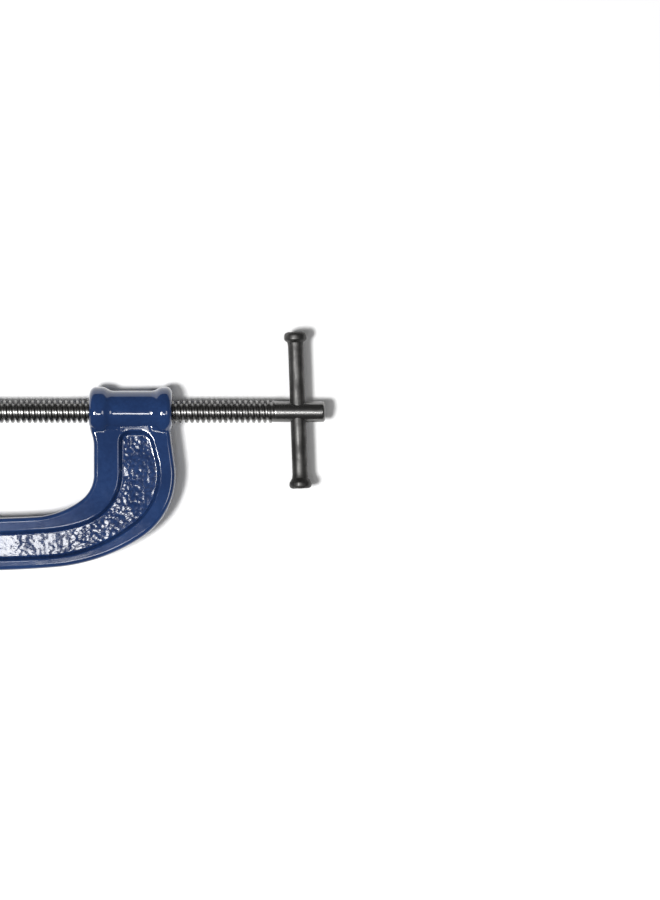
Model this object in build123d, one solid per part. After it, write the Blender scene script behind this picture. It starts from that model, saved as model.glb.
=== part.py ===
from build123d import *
import os
from math import cos, pi, radians, sin, sqrt, tan

# A 150 mm (6 inch) cast G-clamp lying flat. The origin is the centre of the
# anvil's bare face, +X runs along the screw towards the tommy bar, the spine of
# the C lies towards -Y, and +Z is up. Everything is in millimetres.

# Thread: trapezoidal, 16 mm by 4 mm lead, one start, right-hand.
THREAD_DIAMETER = 16.0
THREAD_LEAD = 4.0
THREAD_FLANK_ANGLE = 15.0
THREAD_DEPTH = 2.25
CREST_SHARE = 0.366
THREAD_CLEARANCE = 0.3
TAP_CHAMFER = 1.0

# Jaw: distances along the screw axis from the anvil's face.
JAW_OPENING = 70.0
BOSS_FACE = 170.0
BOSS_LENGTH = 59.0
COLLAR_RADIUS = 17.85
BARREL_RADIUS = 15.0
INNER_COLLAR_WIDTH = 10.5
OUTER_COLLAR_WIDTH = 8.5
COLLAR_ROUND = 2.5
COLLAR_STEP = 4.5
STEP_ROUND = 4.0

# I-section of the casting.
FLANGE_HALF_WIDTH = 11.0
WEB_HALF_THICKNESS = 4.0
FLANGE_ROUND = 4.0
POCKET_CORNER = 6.0
POCKET_ROOT_ROUND = 3.0
POCKET_LIP_ROUND = 2.5
SPINE_MIDDLE = 85.0

# Rails of the C in plan, for the boss's arm (1) and the anvil's arm (-1). Each is the
# height of the spine at its middle, then tangent arcs (radius, angle) round to the arm.
INNER_EDGE = {
    1: (-76.0, [(882.0, 3.0), (60.8, 33.3), (22.6, 53.7)]),
    -1: (-76.0, [(882.0, 3.0), (60.8, 33.3), (22.6, 53.7)]),
}
OUTER_EDGE = {
    1: (-113.4, [(733.0, 4.75), (132.0, 28.75), (52.7, 64.1)]),
    -1: (-113.4, [(690.0, 4.75), (105.0, 30.0), (50.0, 72.0)]),
}
POCKET_INNER = {
    1: (-86.7, [(771.0, 4.0), (110.0, 15.0), (37.4, 71.0)]),
    -1: (-86.7, [(720.0, 4.0), (98.0, 15.0), (36.0, 71.0)]),
}
POCKET_OUTER = {
    1: (-105.4, [(889.0, 3.6), (109.4, 36.0), (43.9, 65.2)]),
    -1: (-105.4, [(640.0, 4.75), (92.0, 30.0), (46.0, 72.0)]),
}
POCKET_TOP = {1: -14.8, -1: -19.0}

# Anvil end of the C.
ANVIL_COLLAR_WIDTH = 8.5
ANVIL_LENGTH = 36.0
ANVIL_EDGE_ROUND = 1.0
ANVIL_BACK_ROUND = 11.0

# Screw: distances from the centre of its ball nose.
BALL_RADIUS = 6.5
BALL_TO_SHOE_FACE = 10.0
NECK_RADIUS = 4.25
THREAD_START = 12.0
THREAD_END = 222.0
SCREW_END = 257.8
PLAIN_RADIUS = 7.4
PLAIN_ROUND = 2.0
NOSE_RADIUS = 5.5
BAR_HOLE_STATION = 238.5
BAR_HOLE_DIAMETER = 11.8

# Retaining ring, sprung into a groove of the ball nose.
RING_WIRE = 1.4
RING_RADIUS = 6.45
RING_STATION = 1.8
RING_GAP_ANGLE = 30.0
GROOVE_RADIUS = 5.5
GROOVE_HALF_WIDTH = 0.95

# Swivel shoe.
SHOE_RADIUS = 15.0
SHOE_DISC = 5.5
SHOE_SHOULDER = 1.5
SHOE_FACE_ROUND = 1.0
SHOE_ROUND = 1.5
SHOE_HUB_RADIUS = 11.0
SHOE_BACK = 7.2
SEAT_RADIUS = 6.75
UNDERCUT_RADIUS = 7.8
UNDERCUT_START = -0.3
UNDERCUT_END = 4.0
MOUTH_RADIUS = 6.7

# Tommy bar, which leans a little in the play of its hole.
BAR_RADIUS = 5.5
BAR_LENGTH = 112.0
BAR_HEAD_RADIUS = 8.2
BAR_HEAD_LENGTH = 6.8
BAR_HEAD_ROUND = 2.4
BAR_NECK_CONE = 1.5
BAR_NECK_ROUND = 1.5
BAR_LEAN = 2.0
BAR_OFFSET = 1.1

BALL_CENTRE = JAW_OPENING + BALL_TO_SHOE_FACE
THREAD_RADIUS = THREAD_DIAMETER / 2
ROOT_RADIUS = THREAD_RADIUS - THREAD_DEPTH
THREAD_ORIGIN = BALL_CENTRE + THREAD_START - 2 * THREAD_LEAD
BAR_X = BALL_CENTRE + BAR_HOLE_STATION
CREST_WIDTH = CREST_SHARE * THREAD_LEAD
FLANK_SLOPE = tan(radians(THREAD_FLANK_ANGLE))
SPARE_TURNS = 2
TOUCH = 0.001
TO_SCREW_AXIS = Location((0, 0, 0), (0, 90, 0))


def thread_solid(crest_radius, root_radius, crest_width, turns):
    """A right-hand thread on its core, along +X, closed by a ramp and a step at each end.

    Each turn is four strips ruled between helices: crest, falling flank, root and rising flank.
    The middle of a crest passes straight below the axis at every whole lead from x = 0.
    """
    flank = (crest_radius - root_radius) * FLANK_SLOPE
    start = -crest_width / 2
    corners = [
        (start, crest_radius),
        (start + crest_width, crest_radius),
        (start + crest_width + flank, root_radius),
        (start + THREAD_LEAD - flank, root_radius),
        (start + THREAD_LEAD, crest_radius),
    ]
    helices = []
    for height, radius in corners:
        helix = Edge.make_helix(THREAD_LEAD, THREAD_LEAD, radius)
        helices.append(helix.moved(Location((0, 0, height))))
    strips = [Face.make_surface_from_curves(a, b) for a, b in zip(helices, helices[1:])]
    axis = Edge.make_line((0, 0, start), (0, 0, start + THREAD_LEAD))
    ramp = Face.make_surface_from_curves(axis, helices[0])
    loop = [axis @ 0] + [Vector(radius, 0, height) for height, radius in corners] + [axis @ 1]
    step = Face(Wire([Edge.make_line(a, b) for a, b in zip(loop, loop[1:] + loop[:1])]))
    faces = []
    for turn in range(turns):
        faces += [strip.moved(Location((0, 0, turn * THREAD_LEAD))) for strip in strips]
    for end in (0, turns * THREAD_LEAD):
        faces += [ramp.moved(Location((0, 0, end))), step.moved(Location((0, 0, end)))]
    return TO_SCREW_AXIS * Solid(Shell(Face.sew_faces(faces)[0]))


def turned(points, radii):
    """A solid of revolution about the X axis from a half profile with rounded corners.

    The profile starts and ends on the axis, and radii holds one radius for each corner between.
    """
    profile = FilletPolyline(*points, radius=radii)
    closing = Line(points[-1], points[0])
    return revolve(make_face(profile.edges() + closing.edges()), Axis.X, 360)


def rod(radius, start, end):
    """A plain cylinder on the X axis."""
    return Pos(start, 0, 0) * (TO_SCREW_AXIS * Solid.make_cylinder(radius, end - start))


def rail(start_height, arcs, end_height, side):
    """Tangent arcs from the middle of the spine to an arm, then a straight up to end_height."""
    point = Vector(SPINE_MIDDLE, start_height)
    heading = 0.0
    edges = []
    for radius, angle in arcs:
        arc = JernArc((point.X, point.Y), (cos(heading), sin(heading)), radius, angle)
        edges.append(arc.edge())
        point = arc @ 1
        heading += radians(angle)
    lean = (end_height - point.Y) * cos(heading) / sin(heading)
    edges.append(Edge.make_line(point, (point.X + lean, end_height)))
    if side < 0:
        edges = [edge.mirror(Plane.YZ.offset(SPINE_MIDDLE)) for edge in edges]
    return edges


def between(outer, inner):
    """The flat face between two rails that start at the middle of the spine."""
    middle = Edge.make_line(outer[0].position_at(0), inner[0].position_at(0))
    top = Edge.make_line(outer[-1].position_at(1), inner[-1].position_at(1))
    return make_face(outer + inner + [middle, top])


def flat_edges(solid, height):
    """The edges of a solid that lie wholly at one height."""
    level = solid.edges().filter_by_position(Axis.Z, height - TOUCH, height + TOUCH)
    return [edge for edge in level if edge.bounding_box().size.Z < TOUCH]


def make_beam():
    """The I-section C without its bosses."""
    beam = Part()
    pocket = Part()
    for side in (1, -1):
        plan = between(rail(*OUTER_EDGE[side], 0, side), rail(*INNER_EDGE[side], 0, side))
        beam += extrude(plan, FLANGE_HALF_WIDTH, both=True)
        top = POCKET_TOP[side]
        plan = between(rail(*POCKET_OUTER[side], top, side), rail(*POCKET_INNER[side], top, side))
        pocket += extrude(Pos(0, 0, WEB_HALF_THICKNESS) * plan, FLANGE_HALF_WIDTH)
    beam = beam.clean()
    pocket = pocket.clean()
    rim = flat_edges(beam, FLANGE_HALF_WIDTH) + flat_edges(beam, -FLANGE_HALF_WIDTH)
    beam = fillet([edge for edge in rim if edge.center().Y < -TOUCH], FLANGE_ROUND)
    upright = pocket.edges().filter_by(Axis.Z)
    ends = [edge for edge in upright if edge.center().Y > min(POCKET_TOP.values()) - TOUCH]
    pocket = fillet(ends, POCKET_CORNER)
    pocket = fillet(flat_edges(pocket, WEB_HALF_THICKNESS), POCKET_ROOT_ROUND)
    for cutter in (pocket, pocket.mirror(Plane.XY)):
        beam -= cutter
        face_height = FLANGE_HALF_WIDTH if cutter is pocket else -FLANGE_HALF_WIDTH
        lip = [edge for edge in flat_edges(beam, face_height) if cutter.distance_to(edge @ 0.5) < TOUCH]
        beam = fillet(lip, POCKET_LIP_ROUND)
    return beam


def make_boss():
    """The boss: a barrel between two collars, which are the flange rims carried round it."""
    end = BOSS_FACE + BOSS_LENGTH
    left = BOSS_FACE + INNER_COLLAR_WIDTH
    right = end - OUTER_COLLAR_WIDTH
    points = [
        (BOSS_FACE, 0),
        (BOSS_FACE, COLLAR_RADIUS),
        (left, COLLAR_RADIUS),
        (left + COLLAR_STEP, BARREL_RADIUS),
        (right - COLLAR_STEP, BARREL_RADIUS),
        (right, COLLAR_RADIUS),
        (end, COLLAR_RADIUS),
        (end, 0),
    ]
    return turned(points, [COLLAR_ROUND] + 4 * [STEP_ROUND] + [COLLAR_ROUND])


def make_anvil():
    """The anvil's boss: a collar with a bare face at x = 0 and a rounded back."""
    points = [
        (0, 0),
        (0, COLLAR_RADIUS),
        (-ANVIL_COLLAR_WIDTH, COLLAR_RADIUS),
        (-ANVIL_COLLAR_WIDTH - COLLAR_STEP, BARREL_RADIUS),
        (-ANVIL_LENGTH, BARREL_RADIUS),
        (-ANVIL_LENGTH, 0),
    ]
    return turned(points, [ANVIL_EDGE_ROUND, STEP_ROUND, STEP_ROUND, ANVIL_BACK_ROUND])


def make_frame():
    """The casting: an I-section C with a tapped boss and a blind anvil boss, in one piece."""
    casting = make_beam() + make_boss() + make_anvil()
    flank_gap = THREAD_CLEARANCE * (1 - FLANK_SLOPE)
    tap = thread_solid(
        THREAD_RADIUS + THREAD_CLEARANCE,
        ROOT_RADIUS + THREAD_CLEARANCE,
        CREST_WIDTH + 2 * flank_gap,
        int(BOSS_LENGTH / THREAD_LEAD) + 2 * SPARE_TURNS,
    )
    leads_to_boss = int((BOSS_FACE - THREAD_ORIGIN) / THREAD_LEAD) - SPARE_TURNS
    casting -= Pos(THREAD_ORIGIN + leads_to_boss * THREAD_LEAD, 0, 0) * tap
    for face, way in ((BOSS_FACE, 1), (BOSS_FACE + BOSS_LENGTH, -1)):
        mouth = THREAD_RADIUS + TAP_CHAMFER
        cone = [(face - way, 0), (face - way, mouth), (face, mouth), (face + way * mouth, 0)]
        casting -= turned(cone, [0, 0])
    return casting


def on_ball(station):
    """The point of the ball's half profile at a distance behind the ball's centre."""
    return (BALL_CENTRE + station, sqrt(BALL_RADIUS**2 - station**2))


def make_nose(end):
    """The ball with its ring groove, and the neck that joins it to the thread."""
    groove_start = RING_STATION - GROOVE_HALF_WIDTH
    groove_end = RING_STATION + GROOVE_HALF_WIDTH
    neck_station = sqrt(BALL_RADIUS**2 - NECK_RADIUS**2)
    path = [
        ThreePointArc(on_ball(-BALL_RADIUS), on_ball(-BALL_RADIUS / 2), on_ball(groove_start)),
        Line(on_ball(groove_start), (BALL_CENTRE + groove_start, GROOVE_RADIUS)),
        Line((BALL_CENTRE + groove_start, GROOVE_RADIUS), (BALL_CENTRE + groove_end, GROOVE_RADIUS)),
        Line((BALL_CENTRE + groove_end, GROOVE_RADIUS), on_ball(groove_end)),
        ThreePointArc(on_ball(groove_end), on_ball((groove_end + neck_station) / 2), on_ball(neck_station)),
        Line(on_ball(neck_station), (end, NECK_RADIUS)),
        Line((end, NECK_RADIUS), (end, 0)),
        Line((end, 0), on_ball(-BALL_RADIUS)),
    ]
    return revolve(make_face([piece.edge() for piece in path]), Axis.X, 360)


def make_screw():
    """The screw: a ball nose with a ring groove, a threaded length, and a plain end with a cross hole."""
    start = BALL_CENTRE + THREAD_START
    end = BALL_CENTRE + THREAD_END
    length = THREAD_END - THREAD_START
    blank_radius = THREAD_RADIUS + TAP_CHAMFER
    outline = [
        (start, 0),
        (start, NOSE_RADIUS),
        (start + blank_radius - NOSE_RADIUS, blank_radius),
        (end - blank_radius + PLAIN_RADIUS, blank_radius),
        (end, PLAIN_RADIUS),
        (end, 0),
    ]
    blank = turned(outline, 4 * [0])
    turns = int(length / THREAD_LEAD) + 2 * SPARE_TURNS
    thread = thread_solid(THREAD_RADIUS, ROOT_RADIUS, CREST_WIDTH, turns)
    thread = Pos(THREAD_ORIGIN, 0, 0) * thread
    tail_end = BALL_CENTRE + SCREW_END
    tail = turned([(end, 0), (end, PLAIN_RADIUS), (tail_end, PLAIN_RADIUS), (tail_end, 0)], [0, PLAIN_ROUND])
    cross_hole = Solid.make_cylinder(BAR_HOLE_DIAMETER / 2, 4 * PLAIN_RADIUS)
    tail -= Pos(BAR_X, 2 * PLAIN_RADIUS, 0) * Rot(90, 0, 0) * cross_hole
    return (blank & thread) + make_nose(start) + tail


def make_snap_ring():
    """The split wire ring that sits in the ball's groove and keeps the shoe on."""
    section = Pos(BALL_CENTRE + RING_STATION, RING_RADIUS, 0) * Circle(RING_WIRE / 2)
    return revolve(section, Axis.X, 360 - RING_GAP_ANGLE)


def make_swivel_shoe():
    """The shoe: a flat disc and a hub, with a spherical seat, an undercut and a narrower mouth."""
    face = JAW_OPENING
    back = BALL_CENTRE + SHOE_BACK
    seat_edge = sqrt(SEAT_RADIUS**2 - UNDERCUT_START**2)
    undercut_start = BALL_CENTRE + UNDERCUT_START
    undercut_end = BALL_CENTRE + UNDERCUT_END
    outside = FilletPolyline(
        (face, 0),
        (face, SHOE_RADIUS),
        (face + SHOE_DISC, SHOE_RADIUS),
        (face + SHOE_DISC + SHOE_SHOULDER, SHOE_HUB_RADIUS),
        (back, SHOE_HUB_RADIUS),
        (back, MOUTH_RADIUS),
        radius=[SHOE_FACE_ROUND] + 3 * [SHOE_ROUND],
    )
    inside = Polyline(
        (back, MOUTH_RADIUS),
        (undercut_end, MOUTH_RADIUS),
        (undercut_end, UNDERCUT_RADIUS),
        (undercut_start, UNDERCUT_RADIUS),
        (undercut_start, seat_edge),
    )
    seat_bottom = (BALL_CENTRE - SEAT_RADIUS, 0)
    seat_middle = (BALL_CENTRE - SEAT_RADIUS * cos(pi / 4), SEAT_RADIUS * sin(pi / 4))
    seat = ThreePointArc((undercut_start, seat_edge), seat_middle, seat_bottom)
    closing = Line(seat_bottom, (face, 0))
    profile = outside.edges() + inside.edges() + seat.edges() + closing.edges()
    return revolve(make_face(profile), Axis.X, 360)


def make_tommy_bar():
    """The tommy bar: a round bar upset to a head at each end, leaning in the screw's cross hole."""
    half = BAR_LENGTH / 2
    neck = half - BAR_HEAD_LENGTH
    points = [
        (-half, 0),
        (-half, BAR_HEAD_RADIUS),
        (-neck, BAR_HEAD_RADIUS),
        (-neck + BAR_NECK_CONE, BAR_RADIUS),
        (neck - BAR_NECK_CONE, BAR_RADIUS),
        (neck, BAR_HEAD_RADIUS),
        (half, BAR_HEAD_RADIUS),
        (half, 0),
    ]
    rounds = [BAR_HEAD_ROUND, BAR_NECK_ROUND, BAR_NECK_ROUND]
    bar = turned(points, rounds + rounds[::-1])
    return Pos(BAR_X, 0, 0) * Rot(0, 0, 90 + BAR_LEAN) * Pos(BAR_OFFSET, 0, 0) * bar


PIECES = {
    "frame": make_frame,
    "screw": make_screw,
    "shoe_snap_ring": make_snap_ring,
    "swivel_shoe": make_swivel_shoe,
    "tommy_bar": make_tommy_bar,
}

os.makedirs("parts", exist_ok=True)
for name, make in PIECES.items():
    export_step(make(), f"parts/{name}.step")
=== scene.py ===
"""Looks of a cast C-clamp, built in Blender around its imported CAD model.

Every length is in metres, in the CAD model's own frame: the origin is the centre of the anvil's
face, +X runs along the screw to the tommy bar, the spine of the C lies towards -Y, and +Z is up.
"""

import logging
from collections.abc import Iterable
from dataclasses import dataclass, field
from enum import Enum
from math import cos, pi, radians, sin, sqrt, tan

import bpy
import numpy as np
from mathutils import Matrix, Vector


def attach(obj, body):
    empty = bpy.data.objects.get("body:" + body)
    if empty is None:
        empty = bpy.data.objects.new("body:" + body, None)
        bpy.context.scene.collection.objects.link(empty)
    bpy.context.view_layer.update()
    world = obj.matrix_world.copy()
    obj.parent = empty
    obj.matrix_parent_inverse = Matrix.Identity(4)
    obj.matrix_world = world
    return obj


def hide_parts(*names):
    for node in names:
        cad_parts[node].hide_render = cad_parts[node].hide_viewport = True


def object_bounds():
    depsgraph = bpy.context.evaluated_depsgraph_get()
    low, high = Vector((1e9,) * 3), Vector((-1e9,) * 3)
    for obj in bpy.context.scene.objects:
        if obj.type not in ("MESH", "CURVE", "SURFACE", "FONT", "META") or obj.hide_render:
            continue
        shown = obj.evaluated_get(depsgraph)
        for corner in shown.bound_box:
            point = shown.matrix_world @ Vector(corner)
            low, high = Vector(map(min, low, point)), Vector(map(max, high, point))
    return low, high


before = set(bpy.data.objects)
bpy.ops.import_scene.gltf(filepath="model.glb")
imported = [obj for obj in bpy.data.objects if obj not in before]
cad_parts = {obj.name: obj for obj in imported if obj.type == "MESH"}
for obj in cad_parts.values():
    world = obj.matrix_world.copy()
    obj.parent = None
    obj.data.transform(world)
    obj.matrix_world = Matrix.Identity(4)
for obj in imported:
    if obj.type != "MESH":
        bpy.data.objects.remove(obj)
cad_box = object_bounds()

LOG = logging.getLogger("c_clamp")
MM = 0.001
FULL_TURN = 2.0 * pi
QUARTER_TURN = pi / 2.0
TINY = 1e-9
HASH_WEIGHTS = np.array([127.1, 311.7, 74.7])
HASH_SEED_STEP = 53.9
HASH_SWING = 43758.5453
Point = tuple[float, float]
Number = "Value | float"


class Arm(Enum):
    """The two arms of the C, with the sign of their side of the spine's middle."""

    BOSS = 1
    ANVIL = -1


# ---------------------------------------------------------------------------------------------
# Arrays


def fade(low: float, high: float, x: np.ndarray) -> np.ndarray:
    """Rises from 0 at low to 1 at high as 3t^2 - 2t^3.

    Args:
        low: where the rise starts.
        high: where it ends.
        x: the values to look up.

    Returns:
        Values from 0 to 1, in the shape of x.
    """
    t = np.clip((x - low) / (high - low), 0.0, 1.0)
    return t * t * (3.0 - 2.0 * t)


def soft_max(a: np.ndarray, b: np.ndarray, width: float) -> np.ndarray:
    """The larger of two heights, with a parabolic fillet where they come within width of each other.

    Args:
        a: first height.
        b: second height.
        width: difference of height at which the fillet starts.

    Returns:
        max(a, b) + width / 4 * max(1 - |a - b| / width, 0)^2.
    """
    near = np.maximum(1.0 - np.abs(a - b) / width, 0.0)
    return np.maximum(a, b) + width / 4.0 * near * near


def lattice(cells: np.ndarray, seed: int) -> np.ndarray:
    """A repeatable random number from 0 to 1 for each whole-number cell.

    Args:
        cells: integer coordinates, with the axes last.
        seed: picks one of many such sets.

    Returns:
        The fractional part of a large sine of the cell's weighted sum, one for each cell.
    """
    weights = HASH_WEIGHTS[: cells.shape[-1]]
    swing = np.sin(cells @ weights + seed * HASH_SEED_STEP) * HASH_SWING
    return swing - np.floor(swing)


def value_noise(points: np.ndarray, cell: float, seed: int) -> np.ndarray:
    """Smooth noise: random values on a cubic lattice, joined by a 3t^2 - 2t^3 fade along each axis.

    Args:
        points: positions, with x, y and z last.
        cell: lattice spacing.
        seed: picks the random values.

    Returns:
        Values from -1 to 1, one for each point.
    """
    scaled = points / cell
    base = np.floor(scaled)
    t = scaled - base
    t = t * t * (3.0 - 2.0 * t)
    total = np.zeros(points.shape[:-1])
    for corner in np.ndindex(2, 2, 2):
        step = np.array(corner, float)
        share = np.prod(np.where(step > 0, t, 1.0 - t), axis=-1)
        total += share * lattice(base + step, seed)
    return 2.0 * total - 1.0


def pebbles(x: np.ndarray, y: np.ndarray, cell: float, seed: int) -> np.ndarray:
    """Rounded pebbles round one random centre in each cell, which fall with the squared distance to it.

    Args:
        x: first plan coordinate.
        y: second plan coordinate.
        cell: pebble spacing.
        seed: picks the centres.

    Returns:
        Heights from 0 between pebbles to 1 at a centre.
    """
    plan = np.stack([x, y], axis=-1) / cell
    base = np.floor(plan)
    nearest = np.full(x.shape, np.inf)
    pebble_edge = 0.8
    for corner in np.ndindex(3, 3):
        home = base + np.array(corner, float) - 1.0
        centre = home + np.stack([lattice(home, seed), lattice(home, seed + 7)], axis=-1)
        nearest = np.minimum(nearest, np.sum((plan - centre) ** 2, axis=-1))
    return np.clip(1.0 - nearest / pebble_edge, 0.0, 1.0)


def rounded_path(points: list[Point], rounds: list[float], step: float) -> np.ndarray:
    """A polyline whose inner corners are arcs tangent to both sides.

    Args:
        points: the corners.
        rounds: one radius for each corner between the first and the last.
        step: largest angle of one piece of an arc, in radians.

    Returns:
        The points of the path, as rows of two numbers.
    """
    path = [np.array(points[0], float)]
    for before, corner, after, radius in zip(points, points[1:], points[2:], rounds):
        corner = np.array(corner, float)
        to_before = np.array(before, float) - corner
        to_after = np.array(after, float) - corner
        to_before /= np.linalg.norm(to_before)
        to_after /= np.linalg.norm(to_after)
        opening = np.arccos(np.clip(to_before @ to_after, -1.0, 1.0))
        if radius <= 0.0:
            path.append(corner)
            continue
        reach = radius / tan(opening / 2.0)
        start, end = corner + to_before * reach, corner + to_after * reach
        middle = to_before + to_after
        centre = corner + middle / np.linalg.norm(middle) * radius / sin(opening / 2.0)
        count = max(2, int(np.ceil((pi - opening) / step)) + 1)
        share = np.linspace(0.0, 1.0, count)[:, None]
        swept = pi - opening
        arc = np.sin((1.0 - share) * swept) * (start - centre) + np.sin(share * swept) * (end - centre)
        path.extend(centre + arc / sin(swept))
    path.append(np.array(points[-1], float))
    return np.array(path)


def spread(path: np.ndarray, step: float) -> np.ndarray:
    """Adds points along a path, so that none of its straights is longer than step.

    Args:
        path: rows of coordinates.
        step: the longest distance to keep.

    Returns:
        The path with its own points and the added ones, in order.
    """
    lengths = np.linalg.norm(np.diff(path, axis=0), axis=1)
    pieces = [path[:1]]
    for a, b, length in zip(path, path[1:], lengths):
        if length > TINY:
            count = max(1, int(np.ceil(length / step)))
            share = np.linspace(0.0, 1.0, count + 1)[1:, None]
            pieces.append(a + (b - a) * share)
    return np.concatenate(pieces)


# ---------------------------------------------------------------------------------------------
# Meshes


def mesh_object(name: str, vertices: np.ndarray, faces: Iterable[Iterable[int]]) -> bpy.types.Object:
    """Makes a mesh object from arrays and links it to the scene.

    Args:
        name: the object's and the mesh's name.
        vertices: rows of x, y and z.
        faces: rows of vertex numbers, three or four each.

    Returns:
        The new object, at the origin.
    """
    mesh = bpy.data.meshes.new(name)
    mesh.from_pydata(vertices, [], faces)
    mesh.update()
    piece = bpy.data.objects.new(name, mesh)
    bpy.context.scene.collection.objects.link(piece)
    return piece


def tube_object(name: str, rings: np.ndarray, loop: bool = False,
                diagonal: bool = False) -> bpy.types.Object:
    """A closed skin over a stack of closed rings, with a pole at each end unless the stack loops.

    Args:
        name: the piece's name.
        rings: array of shape (rings, points round, 3), with faces outwards when the rings turn
            right-handed about the direction in which they are stacked.
        loop: joins the last ring to the first instead of closing both ends.
        diagonal: splits each quad along the diagonal that climbs one ring for each step round.

    Returns:
        The new object.
    """
    count, around = rings.shape[:2]
    rows = np.arange(count if loop else count - 1)[:, None]
    columns = np.arange(around)[None, :]
    here = rows * around + columns
    beside = rows * around + (columns + 1) % around
    above = (rows + 1) % count * around + columns
    corner = (rows + 1) % count * around + (columns + 1) % around
    vertices = rings.reshape(-1, 3)
    if diagonal:
        quads = [np.stack([here, beside, corner], -1).reshape(-1, 3),
                 np.stack([here, corner, above], -1).reshape(-1, 3)]
        faces = [*quads[0].tolist(), *quads[1].tolist()]
    else:
        faces = np.stack([here, beside, corner, above], -1).reshape(-1, 4).tolist()
    if not loop:
        poles = np.stack([rings[0].mean(axis=0), rings[-1].mean(axis=0)])
        first, last = len(vertices), len(vertices) + 1
        vertices = np.concatenate([vertices, poles])
        ring = np.arange(around)
        after = (ring + 1) % around
        top = (count - 1) * around
        faces += np.stack([after, ring, np.full(around, first)], -1).tolist()
        faces += np.stack([top + ring, top + after, np.full(around, last)], -1).tolist()
    return mesh_object(name, vertices, faces)


def turned_rings(path: np.ndarray, around: int) -> np.ndarray:
    """Carries a half profile of (x, radius) round the X axis: (x, r cos a, r sin a).

    Args:
        path: rows of x and radius.
        around: number of points round the axis.

    Returns:
        Rings for tube_object.
    """
    angle = np.arange(around) * FULL_TURN / around
    x = np.repeat(path[:, :1], around, axis=1)
    return np.stack([x, path[:, 1:] * np.cos(angle), path[:, 1:] * np.sin(angle)], axis=-1)


def join_solids(name: str, base: bpy.types.Object, tools: list[bpy.types.Object],
                operation: str) -> bpy.types.Object:
    """Unites a closed mesh with others, or cuts them out of it, and leaves one plain mesh.

    Args:
        name: the result's name.
        base: the closed mesh to keep.
        tools: the closed meshes to unite or cut, which are removed.
        operation: UNION or DIFFERENCE.

    Returns:
        The base object, with its new mesh.
    """
    for tool in tools:
        change = base.modifiers.new(operation, "BOOLEAN")
        change.operation = operation
        change.solver = "MANIFOLD"
        change.object = tool
    graph = bpy.context.evaluated_depsgraph_get()
    mesh = bpy.data.meshes.new_from_object(base.evaluated_get(graph))
    old = base.data
    base.modifiers.clear()
    base.data = mesh
    bpy.data.meshes.remove(old)
    for tool in tools:
        bpy.data.objects.remove(tool)
    base.name = mesh.name = name
    return base


def smooth(piece: bpy.types.Object, sharp_angle: float) -> None:
    """Shades a piece smooth, and keeps edges sharper than sharp_angle, in radians, crisp."""
    piece.data.shade_smooth()
    piece.data.set_sharp_from_angle(angle=sharp_angle)


# ---------------------------------------------------------------------------------------------
# Shaders


class Value:
    """A number carried by a shader socket, on which Python's operators add Math nodes."""

    def __init__(self, graph: "Graph", socket: bpy.types.NodeSocket) -> None:
        """Wraps a socket of a graph."""
        self.graph = graph
        self.socket = socket

    def _math(self, operation: str, first: Number, second: Number) -> "Value":
        """Adds one Math node on two numbers."""
        return self.graph.value("ShaderNodeMath", {"operation": operation}, {0: first, 1: second})

    def __add__(self, other: Number) -> "Value":
        """self + other."""
        return self._math("ADD", self, other)

    def __radd__(self, other: float) -> "Value":
        """other + self."""
        return self._math("ADD", other, self)

    def __sub__(self, other: Number) -> "Value":
        """self - other."""
        return self._math("SUBTRACT", self, other)

    def __rsub__(self, other: float) -> "Value":
        """other - self."""
        return self._math("SUBTRACT", other, self)

    def __mul__(self, other: Number) -> "Value":
        """self * other."""
        return self._math("MULTIPLY", self, other)

    def __rmul__(self, other: float) -> "Value":
        """other * self."""
        return self._math("MULTIPLY", other, self)

    def __pow__(self, other: Number) -> "Value":
        """self to the power of other."""
        return self._math("POWER", self, other)

    def sine(self) -> "Value":
        """The sine of self, in radians."""
        return self._math("SINE", self, 0.0)

    def size(self) -> "Value":
        """self without its sign."""
        return self._math("ABSOLUTE", self, 0.0)

    def fade(self, low: float, high: float) -> "Value":
        """Smoothly from 0 at low to 1 at high, or the other way round where low is above high.

        Args:
            low: the value that gives 0.
            high: the value that gives 1.

        Returns:
            The share from 0 to 1.
        """
        ends = (0.0, 1.0) if low < high else (1.0, 0.0)
        inputs = {"Value": self, "From Min": min(low, high), "From Max": max(low, high),
                  "To Min": ends[0], "To Max": ends[1]}
        return self.graph.value("ShaderNodeMapRange", {"interpolation_type": "SMOOTHSTEP"}, inputs)


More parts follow.
